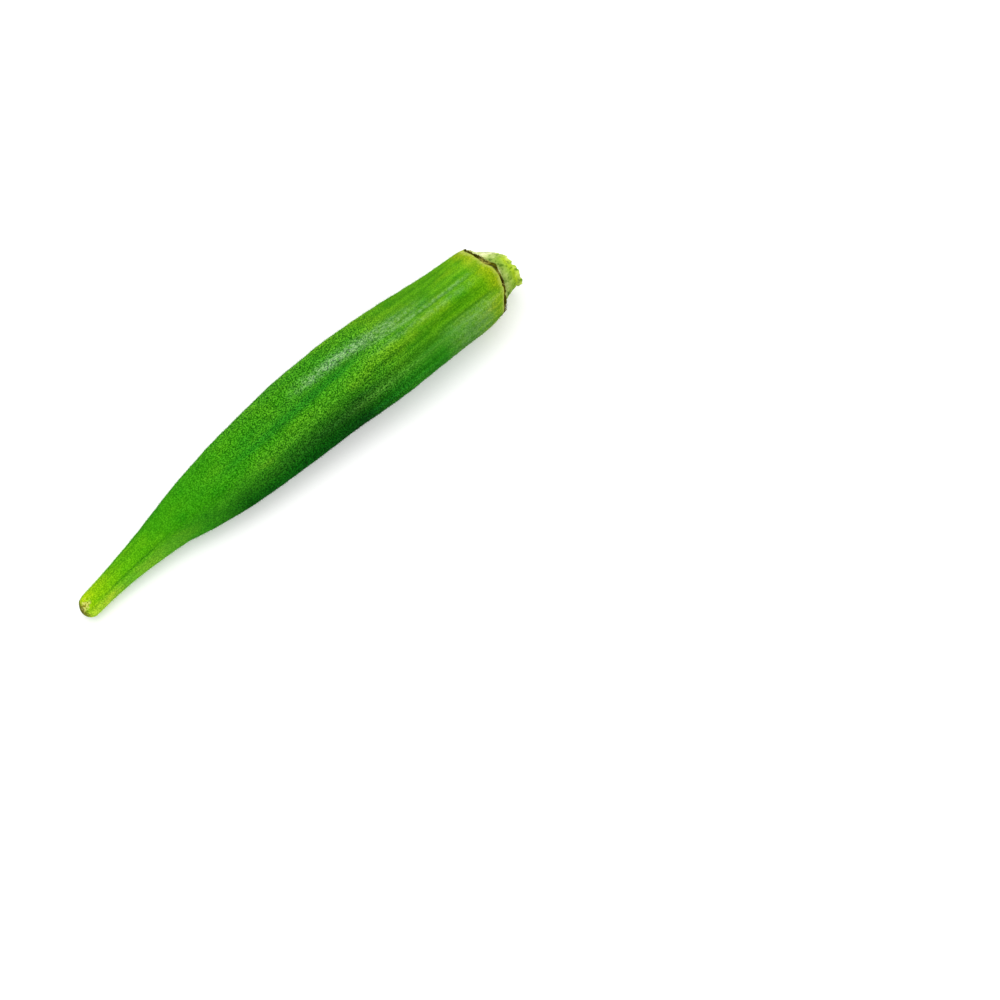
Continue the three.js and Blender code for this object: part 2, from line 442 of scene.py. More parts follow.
class Finish(Tree):
    """A material and its node tree, with short calls for the nodes that finishes share. Colours
    are given as red, green and blue, or as a socket."""

    def __init__(self, name, **shader):
        self.material = bpy.data.materials.new(name)
        self.material.use_nodes = True
        super().__init__(self.material.node_tree)
        self.shader = self.tree.nodes["Principled BSDF"]
        for socket, value in shader.items():
            self.shader.inputs[socket.replace("_", " ")].default_value = value

    def stretched(self, where, scale):
        return self.node("ShaderNodeMapping", {"Vector": where, "Scale": scale}).outputs["Vector"]

    def place(self, scale=(1, 1, 1)):
        """Object coordinates in metres, stretched by scale."""
        return self.stretched(self.node("ShaderNodeTexCoord").outputs["Object"], scale)

    def value(self, name):
        return self.node("ShaderNodeAttribute", attribute_name=name).outputs["Fac"]

    def vector(self, name, scale):
        where = self.node("ShaderNodeAttribute", attribute_name=name).outputs["Vector"]
        return self.stretched(where, scale)

    def noise(self, vector, scale, detail=2.0, rough=0.5):
        inputs = {"Vector": vector, "Scale": scale, "Detail": detail, "Roughness": rough}
        return self.node("ShaderNodeTexNoise", inputs).outputs["Fac"]

    def spread(self, value, low, high, to_low=0.0, to_high=1.0):
        """value, moved smoothly from the range low to high to the range to_low to to_high."""
        inputs = {"Value": value, "From Min": low, "From Max": high}
        inputs.update({"To Min": to_low, "To Max": to_high})
        made = self.node("ShaderNodeMapRange", inputs, interpolation_type="SMOOTHSTEP")
        return made.outputs["Result"]

    def falling(self, value, low, high, most=1.0):
        """most where value is below low, and nothing where it is above high."""
        return self.spread(value, low, high, most, 0.0)

    def maths(self, operation, first, second):
        made = self.node("ShaderNodeMath", {0: first, 1: second}, operation=operation)
        return made.outputs["Value"]

    def times(self, first, second):
        return self.maths("MULTIPLY", first, second)

    def within(self, value, start, full, fade, end):
        """One where value is between full and fade, and nothing beyond start and end."""
        begun = self.spread(value, start, full)
        return self.maths("SUBTRACT", begun, self.spread(value, fade, end))

    def frayed(self, value, noise, by):
        """value, moved up and down by a noise, so that what begins at a value begins raggedly."""
        return self.maths("ADD", value, self.spread(noise, 0.3, 0.7, -by, by))

    def mixed(self, share, first, second, blend="MIX"):
        made = self.node("ShaderNodeMix", {"Factor": share}, data_type="RGBA", blend_type=blend)
        for place, colour in ((MIX_FIRST, first), (MIX_SECOND, second)):
            given = isinstance(colour, bpy.types.NodeSocket)
            self.feed(made.inputs[place], colour if given else (*colour, 1))
        return made.outputs[MIX_RESULT]

    def tinted(self, share, colour, tint):
        """colour, times a tint, as far as share says."""
        return self.mixed(share, colour, tint, blend="MULTIPLY")

    def ramp(self, share, stops):
        made = self.node("ShaderNodeValToRGB", {"Fac": share})
        elements = made.color_ramp.elements
        while len(elements) < len(stops):
            elements.new(0.5)
        for element, (place, colour) in zip(elements, stops):
            element.position = place
            element.color = (*colour, 1)
        return made.outputs["Color"]

    def bumps(self, *heights):
        """Bumps laid over each other: pairs of a height and how far it stands, in mm."""
        normal = None
        for height, stands in heights:
            made = self.node("ShaderNodeBump", {"Height": height, "Distance": stands * MM})
            if normal is not None:
                self.feed(made.inputs["Normal"], normal)
            normal = made.outputs["Normal"]
        self.feed(self.shader.inputs["Normal"], normal)

    def painted(self, colour):
        """The material, its base colour set."""
        self.feed(self.shader.inputs["Base Color"], colour)
        return self.material


# ---------------------------------------------------------------- the pod's skin
SKIN_STEPS_PER_FACET = 56
SKIN_NOSE_STEPS = 14
SKIN_BODY_STEPS = 300
SKIN_SHOULDER_STEPS = 24
SKIN_END_STEPS = 4
PAINTED_SHADE_SIDE = -20  # the side painted in shade, a deeper green, in degrees round the pod
SEAM_SHOWN = [0.0, 0.6, 0.5, 0.6, 0.8]  # how clearly the pale seam shows on each facet
SEAM_AT = [0.5, 0.5, 0.5, 0.5, 0.39]  # where it runs, as a share of the facet's width
VEIN_WIDTH = 0.4
VEIN_SEED = 7
SEED_SPACING = 5.2  # mm from one seed to the next along the pod
FAR = 9  # mm, stands for any place on another facet
# The veins that show most, by facet: where across it, from and to which shares of the length,
# and how deep and wide in mm.
MAIN_VEINS = {
    0: [
        # across start end deep wide
        (0.155, 0.8, 0.98, 0.1, VEIN_WIDTH),
        (0.3, 0.68, 0.97, 0.06, VEIN_WIDTH),
        (0.45, 0.75, 0.97, 0.05, VEIN_WIDTH),
        (0.62, 0.66, 0.96, 0.05, VEIN_WIDTH),
        (0.78, 0.7, 0.97, 0.06, VEIN_WIDTH),
    ],
    4: [
        (0.2, 0.66, 0.97, 0.06, VEIN_WIDTH),
        (0.55, 0.6, 0.88, 0.07, 1.0),
        (0.63, 0.82, 0.992, 0.12, VEIN_WIDTH),
        (0.74, 0.6, 0.86, 0.06, VEIN_WIDTH),
        (0.86, 0.66, 0.97, 0.06, VEIN_WIDTH),
    ],
}
SPOT_FROM_TIP = 1.3  # mm, of the dried spot on the beak
SPOT_HEIGHT = 86  # degrees round the pod
SPOT_WIDTH = 1.1
SPOT_LENGTH = SPOT_WIDTH / 0.7
FLOW_RADIUS = 10  # mm, of the straight rod that the streaks are drawn on


def skin_places():
    """Where the skin's rings stand along the pod, closer together at its two ends."""
    quarter = math.pi / 2
    nose = NOSE * (1 - np.cos(np.arange(1, SKIN_NOSE_STEPS + 1) / SKIN_NOSE_STEPS * quarter))
    body_end = POD_LENGTH - SHOULDER
    body = np.linspace(NOSE, body_end, SKIN_BODY_STEPS + 1)[1:]
    steps = np.arange(1, SKIN_SHOULDER_STEPS + 1) / SKIN_SHOULDER_STEPS
    return np.concatenate([nose, body, body_end + SHOULDER * np.sin(steps * quarter)])


def drawn_veins(facet):
    """Fine grooves that run along a facet, as rows like those of MAIN_VEINS."""
    draw = np.random.default_rng(VEIN_SEED + facet)
    veins = list(MAIN_VEINS.get(facet, []))
    if not veins:
        for place in np.linspace(0.14, 0.86, 6):
            start = draw.uniform(0.58, 0.84)
            across = place + draw.uniform(-0.04, 0.04)
            veins.append((across, start, 0.985, draw.uniform(0.03, 0.09), VEIN_WIDTH))
    for across in draw.uniform(0.15, 0.85, 3):
        start = draw.uniform(0.03, 0.1)
        end = start + draw.uniform(0.08, 0.16)
        veins.append((across, start, end, draw.uniform(0.03, 0.06), VEIN_WIDTH))
    return veins


def skin_distances(x, way):
    """The facet's width at each place x, and how far off the nearest ridge and the facet's seam
    are along the skin, all in mm."""
    girth = crest_radius(x)[:, None] * np.radians(way.span)
    to_ridge = np.minimum(way.across, 1 - way.across) * girth
    to_seam = np.abs(way.across - np.array(SEAM_AT)[way.facet]) * girth
    return girth, to_ridge, to_seam


def skin_relief(x, way, smooth):
    """How far the skin's fine forms stand out, in mm, and how deep in a groove each point is,
    from 0 to 1."""
    share = x[:, None] / POD_LENGTH
    girth, to_ridge, to_seam = skin_distances(x, way)
    body = smoothstep(share, 0.2, 0.4)

    raised = 0.10 * bell(to_ridge, 0.55) * body
    crease = bell(to_ridge, 0.24) * within(share, 0.02, 0.09, 0.16, 0.24)
    raised = raised - 0.11 * crease
    seam = bell(to_seam, 0.26) * within(share, 0.25, 0.45, 0.9, 0.97)
    sunk = bell(to_seam, 0.8) * body
    raised = raised + (0.09 * seam - 0.07 * sunk) * np.array(SEAM_SHOWN)[way.facet]
    groove = crease.copy()
    for facet in range(FACETS):
        mine = way.facet == facet
        for across, start, end, depth, width in drawn_veins(facet):
            along = within(share, start, start + 0.06, end - 0.03, end)
            line = bell((way.across - across) * girth, width) * along * mine
            raised = raised - depth * line
            groove = np.maximum(groove, line * depth / 0.10)
    swell = np.sin(x / SEED_SPACING * 2 * math.pi)[:, None] * np.sin(2 * math.pi * way.across) ** 2
    raised = raised + 0.05 * swell * within(share, 0.3, 0.45, 0.8, 0.9)
    uneven = 0.10 * ripples(smooth, 9, seed=1) + 0.035 * ripples(smooth, 2.2, seed=2)
    raised = raised + uneven * np.clip(crest_radius(x)[:, None] / 6, 0.2, 1)
    raised = raised + fuller_side(share, way)
    dried = 1 - smoothstep(x[:, None], 1.2, 3.0)
    raised = raised + 0.10 * dried * ripples(smooth, 0.8, seed=3)
    fade = np.minimum(1, np.minimum(x, 1.2) / 1.2)[:, None]
    return raised * fade, np.clip(groove, 0, 1)


def gloss_and_painted_sheen_bands(share, height):
    """Where a painted milky sheen lies over the skin and its gloss is raised, from 0 to 1: a broad
    band, two narrow ones by the cap, and the flank under the lower crease. height is the degrees
    round the pod."""
    middle = 111 - 7 * smoothstep(share, 0.62, 0.85)
    broad = bell(height - middle, 9 + 2 * smoothstep(share, 0.6, 0.7))
    gloss_and_painted_sheen = broad * within(share, 0.53, 0.62, 0.78, 0.9)
    narrow = 0.6 * bell(height - 92, 3.5) + 0.5 * bell(height - 79.5, 4)
    gloss_and_painted_sheen = gloss_and_painted_sheen + narrow * within(share, 0.68, 0.8, 0.93, 0.985)
    flank = 0.5 * within(height, -25, 5, 46, 52)
    gloss_and_painted_sheen = gloss_and_painted_sheen + flank * within(share, 0.83, 0.91, 0.955, 0.985)
    return np.clip(gloss_and_painted_sheen, 0, 1)


def skin_values(x, way, groove):
    """What the skin's finish and its hairs read, by name: the values at each place x for each
    direction, and those of the beak's tip and of the middle of the broad end."""
    share = np.repeat((x / POD_LENGTH)[:, None], way.count, axis=1)
    girth, to_ridge, to_seam = skin_distances(x, way)
    height = half_turn(round_the_pod(share, way))

    # Painted shade: the lower side is a deeper green, starting lower down on the front half of the
    # body.
    facing = np.cos(np.radians(height - PAINTED_SHADE_SIDE))
    lower = within(share, 0.18, 0.3, 0.38, 0.6)
    deep = smoothstep(facing, 0.16 + 0.29 * lower, 0.79 + 0.21 * lower)
    # The darkest painted shadow, on the lower side along the middle of the pod.
    painted_shadow = smoothstep(facing, 0.6, 0.85) * within(share, 0.22, 0.42, 0.68, 0.8)

    # Painted highlight on the ridges and below the lower crease, painted shade just above the top
    # ridge.
    above_crest = way.across * girth + FAR * (way.facet > 0)
    below_crest = (1 - way.across) * girth + FAR * (way.facet < FACETS - 1)
    tone = 0.8 * np.maximum(bell(to_ridge, 1.3), 1 - smoothstep(below_crest, 1.8, 3.6))
    tone = tone - bell(above_crest - 3.3, 1.5) * (1 - smoothstep(share, 0.65, 0.75))
    tone = tone * within(share, 0.3, 0.45, 0.8, 0.95)

    spot_along = x[:, None] - SPOT_FROM_TIP
    spot_across = crest_radius(x)[:, None] * np.radians(half_turn(height - SPOT_HEIGHT))
    spot = bell(np.hypot(spot_along / SPOT_LENGTH, spot_across / SPOT_WIDTH), 1)

    seam_shown = np.array(SEAM_SHOWN)[way.facet]
    seam_run = seam_shown * within(share, 0.58, 0.7, 0.86, 0.92)
    beside_seam = seam_shown * bell(to_seam, 1.5) * within(share, 0.3, 0.45, 0.88, 0.95)
    beside_seam = beside_seam * (0.25 + 0.75 * smoothstep(share, 0.6, 0.7))
    return {
        "along": (share, 0, 1),
        "turned": (np.broadcast_to(way.angle, share.shape), 0, 0),
        "to_ridge": (to_ridge, 0, 0),
        "to_seam": (to_seam, 0, 0),
        "groove": (groove, 0, 0),
        # deep is the painted shade of the lower side.
        "deep": (deep, 0.5, 0.5),
        "painted_shadow": (painted_shadow, 0, 0),
        "tone": (tone, 0, 0),
        "gloss_and_painted_sheen": (gloss_and_painted_sheen_bands(share, height), 0, 0),
        "spot": (spot, spot[0].mean(), 0),
        # The brown end of the beak reaches a little further along its upper side, near 165 degrees
        # round the pod.
        "brown_end": (share - 0.015 * bell(half_turn(height - 165), 24), 0, 1),
        "seam_run": (seam_run, 0, 0),
        "beside_seam": (beside_seam, 0, 0),
        "streaked": (1 - 0.65 * bell(half_turn(height - 146), 26), 1, 1),
        "margin": (share + 0.006 * bell(way.angle - 72, 22) * (share > 0.9), 0, 1),
    }


def make_skin():
    """The whole skin as one closed mesh, with the attributes that its finish and hairs read."""
    way = Round(SKIN_STEPS_PER_FACET)
    x = skin_places()
    smooth = pod_surface(x, way)
    raised, groove = skin_relief(x, way, smooth)
    rings = pod_surface(x, way, raised)
    rim = rings[-1]
    middle = rim.mean(axis=0)
    for step in range(1, SKIN_END_STEPS):
        inner = 1 - step / SKIN_END_STEPS
        ring = middle + (rim - middle) * inner
        ring[:, 0] += END_DOME * (1 - inner**2)
        rings = np.concatenate([rings, ring[None]])
    tip = pod_surface(np.array([0.0]), way)[0, 0]
    end = middle + np.array([END_DOME, 0, 0])

    def spread_out(values, first, last):
        closing = np.repeat(values[-1:], SKIN_END_STEPS - 1, axis=0)
        return with_ends(np.concatenate([values, closing]), first, last)

    values = {}
    for key, (value, first, last) in skin_values(x, way, groove).items():
        values[key] = spread_out(value[..., None], [first], [last])[:, 0]
    angle = np.radians(way.angle)
    flow = np.stack(np.broadcast_arrays(
        x[:, None], FLOW_RADIUS * np.cos(angle), FLOW_RADIUS * np.sin(angle)), axis=-1)
    values["flow"] = spread_out(flow, [0, 0, 0], [POD_LENGTH, 0, 0])
    points = in_frame(with_ends(rings, tip, end))
    return mesh_piece("pod_skin", points, tube_faces(len(rings), way.count), values)


def skin_colour(finish):
    """The skin's slow changes of green, from the beak to the cap, and from the lit side to the
    painted shade of the lower side."""
    along = finish.value("along")
    sunny = finish.ramp(along, [
        (0.02, (0.230, 0.480, 0.001)),
        (0.11, (0.096, 0.390, 0.001)),
        (0.19, (0.042, 0.290, 0.001)),
        (0.28, (0.030, 0.258, 0.001)),
        (0.50, (0.028, 0.220, 0.001)),
        (0.63, (0.030, 0.230, 0.001)),
        (0.82, (0.072, 0.285, 0.001)),
        (0.91, (0.080, 0.315, 0.001)),
        (0.965, (0.120, 0.360, 0.001)),
        (0.995, (0.290, 0.400, 0.003)),
    ])
    # The lower side in painted shade, darkest along the middle as a painted shadow.
    shaded = finish.ramp(along, [
        (0.02, (0.36, 0.62, 0.020)),
        (0.11, (0.140, 0.480, 0.012)),
        (0.19, (0.095, 0.380, 0.010)),
        (0.27, (0.030, 0.255, 0.003)),
        (0.37, (0.002, 0.090, 0.001)),
        (0.50, (0.001, 0.084, 0.001)),
        (0.64, (0.001, 0.050, 0.001)),
        (0.76, (0.008, 0.160, 0.001)),
        (0.84, (0.020, 0.210, 0.003)),
        (0.91, (0.080, 0.270, 0.012)),
        (0.98, (0.190, 0.380, 0.010)),
    ])
    # deep mixes in the painted shade of the lower side.
    return finish.mixed(finish.value("deep"), sunny, shaded)


def speckled(skin, along, colour):
    """colour with the fine light and dark specks of the skin, strongest on the body; the light
    specks partly paled as painted glints of the hairs.
    """
    speckle = skin.noise(skin.place(), 3300.0, 2.0, 0.6)
    grain = skin.times(skin.spread(along, 0.2, 0.5, 0.42, 1.0),
                       skin.spread(along, 0.7, 0.84, 1.0, 0.35))
    light = skin.times(skin.spread(speckle, 0.50, 0.61), grain)
    colour = skin.tinted(light, colour, (2.4, 1.85, 2.5))
    # Light specks paled as painted glints of the hairs, less in the painted shadow.
    paler = skin.times(light, skin.spread(skin.value("painted_shadow"), 0.0, 1.0, 0.07, 0.01))
    colour = skin.mixed(paler, colour, (0.34, 0.62, 0.15))
    dark = skin.times(skin.falling(speckle, 0.39, 0.50), grain)
    return skin.tinted(dark, colour, (0.14, 0.36, 0.2)), speckle


def skin_finish():
    """Green skin: yellower at both ends, deeper below in painted shade, painted highlights on the
    ridges, painted sheen in bands, streaked by the cap, finely speckled.
    """
    skin = Finish("downy green pod skin", Roughness=0.5, Specular_IOR_Level=0.03,
                  Coat_Roughness=0.32)
    along = skin.value("along")
    tone = skin.value("tone")
    # tone lightens as painted highlight where positive and darkens as painted shade where
    # negative.
    colour = skin.tinted(skin.spread(tone, 0.05, 1.0), skin_colour(skin), (1.8, 1.2, 4.0))
    colour = skin.tinted(skin.falling(tone, -1.0, -0.05), colour, (0.35, 0.8, 0.8))
    clouds = skin.noise(skin.place((0.5, 1, 1)), 260.0)
    colour = skin.tinted(skin.spread(clouds, 0.48, 0.72), colour, (1.45, 1.08, 1.2))
    colour = skin.tinted(skin.falling(clouds, 0.28, 0.48), colour, (0.6, 0.86, 0.8))
    streaks = skin.noise(skin.vector("flow", (0.03, 0.6, 0.6)), 1.0, 4.0, 0.62)
    by_cap = skin.times(skin.spread(along, 0.42, 0.75, 0.1, 1.0), skin.value("streaked"))
    dark_streak = skin.times(skin.falling(streaks, 0.34, 0.50), by_cap)
    colour = skin.tinted(dark_streak, colour, (0.55, 0.72, 0.7))
    light_streak = skin.times(skin.spread(streaks, 0.50, 0.68), by_cap)
    colour = skin.tinted(light_streak, colour, (1.3, 1.18, 5.0))
    colour = skin.tinted(skin.value("groove"), colour, (0.5, 0.65, 0.7))

    colour = skin.mixed(skin.times(skin.value("beside_seam"), 0.42), colour, (0.085, 0.29, 0.02))
    near_seam = skin.falling(skin.value("to_seam"), 0.05, 0.4, 0.45)
    broken = skin.spread(skin.noise(skin.place(), 500.0), 0.34, 0.56, 0.35, 1.0)
    seam = skin.times(skin.times(near_seam, broken), skin.value("seam_run"))
    colour = skin.mixed(seam, colour, (0.10, 0.32, 0.03))
    # A painted milky sheen in bands, broken up by a mottle; the same bands raise the coat's gloss.
    mottle = skin.spread(skin.noise(skin.place(), 1100.0, 2.0, 0.6), 0.38, 0.60, 0.25, 1.0)
    gloss_and_painted_sheen = skin.times(skin.value("gloss_and_painted_sheen"), mottle)
    colour = skin.mixed(skin.times(gloss_and_painted_sheen, 0.38), colour, (0.30, 0.57, 0.20))
    colour, speckle = speckled(skin, along, colour)

    ragged = skin.noise(skin.place(), 1400.0)
    margin = skin.frayed(skin.value("margin"), ragged, 0.002)
    colour = skin.mixed(skin.spread(margin, 0.990, 1.001, 0.0, 0.8), colour, (0.47, 0.56, 0.09))
    spot = skin.frayed(skin.value("spot"), ragged, 0.25)
    dried = skin.mixed(skin.spread(skin.noise(skin.place(), 2000.0), 0.42, 0.54),
                       (0.22, 0.15, 0.01), (0.66, 0.66, 0.16))
    colour = skin.mixed(skin.spread(spot, 0.35, 0.75, 0.0, 0.8), colour, dried)
    end = skin.frayed(skin.value("brown_end"), ragged, 0.003)
    colour = skin.mixed(skin.falling(end, 0.001, 0.010, 0.85), colour, (0.11, 0.085, 0.008))
    skin.feed(skin.shader.inputs["Coat Weight"], skin.spread(gloss_and_painted_sheen, 0.0, 1.0, 0.0, 0.5))
    skin.bumps((streaks, 0.05), (speckle, 0.05))
    return skin.painted(colour)


# ---------------------------------------------------------------- hairs
def hair_tree():
    """Stiff tapered hairs, strewn over one facet of a skin."""
    grown = Tree(bpy.data.node_groups.new("strewn hairs", "GeometryNodeTree"))
    grown.tree.interface.new_socket("Geometry", in_out="OUTPUT", socket_type="NodeSocketGeometry")
    wanted = [
        ("Geometry", "Geometry"), ("Cover", "String"), ("Hairs per square metre", "Float"),
        ("Length", "Float"), ("Root radius", "Float"), ("Shortest share", "Float"),
        ("Lean", "Float"), ("Seed", "Int"), ("Finish", "Material"),
    ]
    for name, kind in wanted:
        grown.tree.interface.new_socket(name, in_out="INPUT", socket_type="NodeSocket" + kind)
    node = grown.node
    given = node("NodeGroupInput").outputs
    cover = node("GeometryNodeInputNamedAttribute", {"Name": given["Cover"]}, data_type="FLOAT")
    dense = node("ShaderNodeMath", {
        0: cover.outputs["Attribute"], 1: given["Hairs per square metre"]}, operation="MULTIPLY")
    strewn = node("GeometryNodeDistributePointsOnFaces", {
        "Mesh": given["Geometry"], "Density": dense.outputs["Value"], "Seed": given["Seed"]})
    hair = node("GeometryNodeMeshCone", {
        "Vertices": 3, "Radius Bottom": given["Root radius"], "Depth": given["Length"]},
        fill_type="NGON")
    tipped = node("GeometryNodeStoreNamedAttribute", {
        "Geometry": hair.outputs["Mesh"], "Name": "tip", "Value": hair.outputs["Top"]},
        data_type="FLOAT", domain="POINT")
    most = node("ShaderNodeCombineXYZ", {"X": given["Lean"], "Y": given["Lean"], "Z": math.pi})
    least = node("ShaderNodeVectorMath", {
        0: most.outputs["Vector"], "Scale": -1}, operation="SCALE")
    lean = node("FunctionNodeRandomValue", {
        "Min": least.outputs["Vector"], "Max": most.outputs["Vector"], "Seed": given["Seed"]},
        data_type="FLOAT_VECTOR")
    leant = node("FunctionNodeRotateRotation", {
        "Rotation": strewn.outputs["Rotation"], "Rotate By": lean.outputs["Value"]},
        rotation_space="LOCAL")
    size = node("FunctionNodeRandomValue", {
        "Min": given["Shortest share"], "Max": 1, "Seed": given["Seed"]}, data_type="FLOAT")
    placed = node("GeometryNodeInstanceOnPoints", {
        "Points": strewn.outputs["Points"], "Instance": tipped.outputs["Geometry"],
        "Rotation": leant.outputs["Rotation"], "Scale": size.outputs["Value"]})
    real = node("GeometryNodeRealizeInstances", {"Geometry": placed.outputs["Instances"]})
    finished = node("GeometryNodeSetMaterial", {
        "Geometry": real.outputs["Geometry"], "Material": given["Finish"]})
    node("NodeGroupOutput", {"Geometry": finished.outputs["Geometry"]})
    return grown.tree


def keep_above_floor(mesh):
    places = np.zeros(len(mesh.vertices) * 3, np.float32)
    mesh.vertices.foreach_get("co", places)
    places[2::3] = np.maximum(places[2::3], 0)
    mesh.vertices.foreach_set("co", places)
    mesh.update()


def grow_hairs(name, tree, skin, **sizes):
    """One piece of hairs from the tree, as a plain mesh. sizes are the tree's inputs by name."""
    carrier = bpy.data.objects.new(name + "_carrier", skin.data)
    bpy.context.scene.collection.objects.link(carrier)
    growth = carrier.modifiers.new("hairs", "NODES")
    growth.node_group = tree
    inputs = {s.name: s.identifier for s in tree.interface.items_tree if s.in_out == "INPUT"}
    for key, value in sizes.items():
        growth[inputs[key.replace("_", " ")]] = value
    evaluated = carrier.evaluated_get(bpy.context.evaluated_depsgraph_get())
    mesh = bpy.data.meshes.new_from_object(evaluated)
    mesh.name = name
    keep_above_floor(mesh)
    bpy.data.objects.remove(carrier)
    piece = bpy.data.objects.new(name, mesh)
    bpy.context.scene.collection.objects.link(piece)
    return piece


def hair_finish(name, pale, share):
    """Hairs between a light shade of the skin's green, its painted shade included, and a pale
    tint.
    """
    hair = Finish(name, Roughness=0.6, Specular_IOR_Level=0.03)
    tone = hair.noise(hair.place(), 1500.0, 1.0)
    colour = hair.tinted(hair.spread(tone, 0.4, 0.6), skin_colour(hair), (2.2, 1.6, 2.0))
    paler = hair.times(hair.spread(tone, 0.40, 0.60, 0.5, 1.0),
                       hair.spread(hair.value("tip"), 0.3, 1.0, 0.0, share))
    # The hairs are less pale in the painted shadow.
    paler = hair.times(paler, hair.spread(hair.value("painted_shadow"), 0.0, 1.0, 1.0, 0.3))
    return hair.painted(hair.mixed(paler, colour, pale))


def make_hairs(skin):
    """Short down over every facet, and longer pale hairs along the ridges."""
    tree = hair_tree()
    down = hair_finish("pale green down", (0.36, 0.56, 0.08), 0.6)
    bristle = hair_finish("cream bristles", (0.60, 0.72, 0.30), 0.9)
    along = read_values(skin.data, "along")
    turned = read_values(skin.data, "turned")
    to_ridge = read_values(skin.data, "to_ridge")
    clear = within(along, 0.01, 0.04, 0.985, 0.995)
    pieces = []
    for facet in range(FACETS):
        mine = (turned >= RIDGES[facet]) & (turned < RIDGES[facet + 1])
        key = f"down_{facet + 1}"
        add_values(skin.data, key, clear * mine)
        pieces.append(grow_hairs(
            f"{key}_hairs", tree, skin, Cover=key, Hairs_per_square_metre=14e6,
            Length=0.42 * MM, Root_radius=0.016 * MM, Shortest_share=0.45, Lean=0.7,
            Seed=facet, Finish=down))
    add_values(skin.data, "bristle_cover", clear * bell(to_ridge, 0.5))
    pieces.append(grow_hairs(
        "ridge_bristles", tree, skin, Cover="bristle_cover", Hairs_per_square_metre=9e6,
        Length=0.75 * MM, Root_radius=0.02 * MM, Shortest_share=0.4, Lean=0.6,
        Seed=11, Finish=bristle))
    for key in [f"down_{facet + 1}" for facet in range(FACETS)] + ["bristle_cover"]:
        skin.data.attributes.remove(skin.data.attributes[key])
    for piece in pieces:
        dress(piece)


# ---------------------------------------------------------------- scar
SCAR_STEPS_PER_FACET = 60
SCAR_SIDES = 12
FIBRE_STEPS_PER_FACET = 72
FIBRE_COUNT = 130
FIBRE_ROWS = 7
FIBRE_SIDES = 4
FIBRE_SEED = 41


def scar_path(way):
    """The rim of the broad end, the way outwards from its middle at each point, and how far each
    point is turned from the top corner, in degrees."""
    rim = pod_rim(way)
    away = rim - rim.mean(axis=0)
    away[:, 0] = 0
    away /= np.linalg.norm(away, axis=1, keepdims=True)
    return rim, away, half_turn(way.angle)


def unit_circle(way):
    """Places for ripples that run round the pod and close on themselves."""
    angle = np.radians(way.angle)
    return np.stack([np.cos(angle), np.sin(angle), np.zeros_like(angle)], axis=-1)


def make_scar():
    """The ragged brown lip round the pod's broad end, where the flower's parts dropped off."""
    way = Round(SCAR_STEPS_PER_FACET)
    rim, away, turned_by = scar_path(way)
    circle = unit_circle(way)
    swollen = 0.4 * bell(turned_by, 6) + bell(turned_by - 33, 6) + 0.7 * bell(turned_by + 72, 24)
    peeled = bell(turned_by - 12, 9)
    # How wide and how thick the lip is, and how far it has slid over the edge, in mm.
    wide = 0.27 + 0.13 * ripples(circle, 0.18, seed=21) + 0.24 * swollen + 0.3 * peeled
    wide = wide + 0.09 * bell(turned_by + 32, 26)
    thick = 0.19 + 0.09 * ripples(circle, 0.12, seed=22) + 0.08 * swollen
    slide = 0.18 + 0.20 * ripples(circle, 0.25, seed=23) + 0.14 * ripples(circle, 0.06, seed=24)
    slide = slide + 0.25 * peeled
    rings = []
    for step in range(SCAR_SIDES):
        turned = 2 * math.pi * step / SCAR_SIDES
        ragged = 1 + 0.25 * ripples(circle * 3 + turned, 0.25, seed=25)
        ring = rim + away * (thick * ragged * math.cos(turned) - 0.12)[:, None]
        ring[:, 0] += slide + wide * ragged * math.sin(turned)
        rings.append(ring)
    points = in_frame(np.array(rings).transpose(1, 0, 2))
    rows, columns = points.shape[:2]
    faces = []
    for row in range(rows):
        after = (row + 1) % rows
        for column in range(columns):
            beside = (column + 1) % columns
            faces.append((
                row * columns + column, row * columns + beside,
                after * columns + beside, after * columns + column))
    tan = bell(way.angle - 15, 9) - bell(turned_by + 2, 6)
    return mesh_piece("scar_lip", points, faces, {"tan": np.repeat(tan, columns)})


def make_fibres():
    """Dry torn fibres that lie along the scar, most of them by its top corner and at its foot."""
    draw = np.random.default_rng(FIBRE_SEED)
    way = Round(FIBRE_STEPS_PER_FACET)
    rim, away, turned_by = scar_path(way)
    likely = 0.2 + 1.6 * bell(turned_by - 19, 9) + bell(turned_by + 80, 22)
    along = np.linspace(-1, 1, FIBRE_ROWS)
    one_fibre = tube_faces(FIBRE_ROWS, FIBRE_SIDES)
    points, faces = [], []
    for start in draw.choice(way.count, FIBRE_COUNT, p=likely / likely.sum()):
        steps = draw.uniform(1.2, 4.0)
        at = (start + np.rint(along * steps)).astype(int) % way.count
        fraction = along * steps - np.rint(along * steps)
        path = rim[at] + fraction[:, None] * (rim[(at + 1) % way.count] - rim[at])
        drift = draw.normal(0, 0.22)
        path[:, 0] += draw.uniform(0.0, 0.9) + drift * along
        path += away[at] * (draw.uniform(0.0, 0.12) + 0.12 * along**2)[:, None]
        radius = draw.uniform(0.035, 0.08) * np.sqrt(1.02 - along**2)
        rings = []
        for step in range(FIBRE_SIDES):
            turned = 2 * math.pi * step / FIBRE_SIDES
            ring = path + away[at] * (radius * math.cos(turned))[:, None]
            ring[:, 0] -= radius * math.sin(turned)
            rings.append(ring)
        first = len(points)
        grid = np.array(rings).transpose(1, 0, 2)
        points.extend(with_ends(grid, path[0], path[-1]))
        faces.extend(tuple(first + corner for corner in face) for face in one_fibre)
    return mesh_piece("scar_fibres", in_frame(np.array(points)), faces)


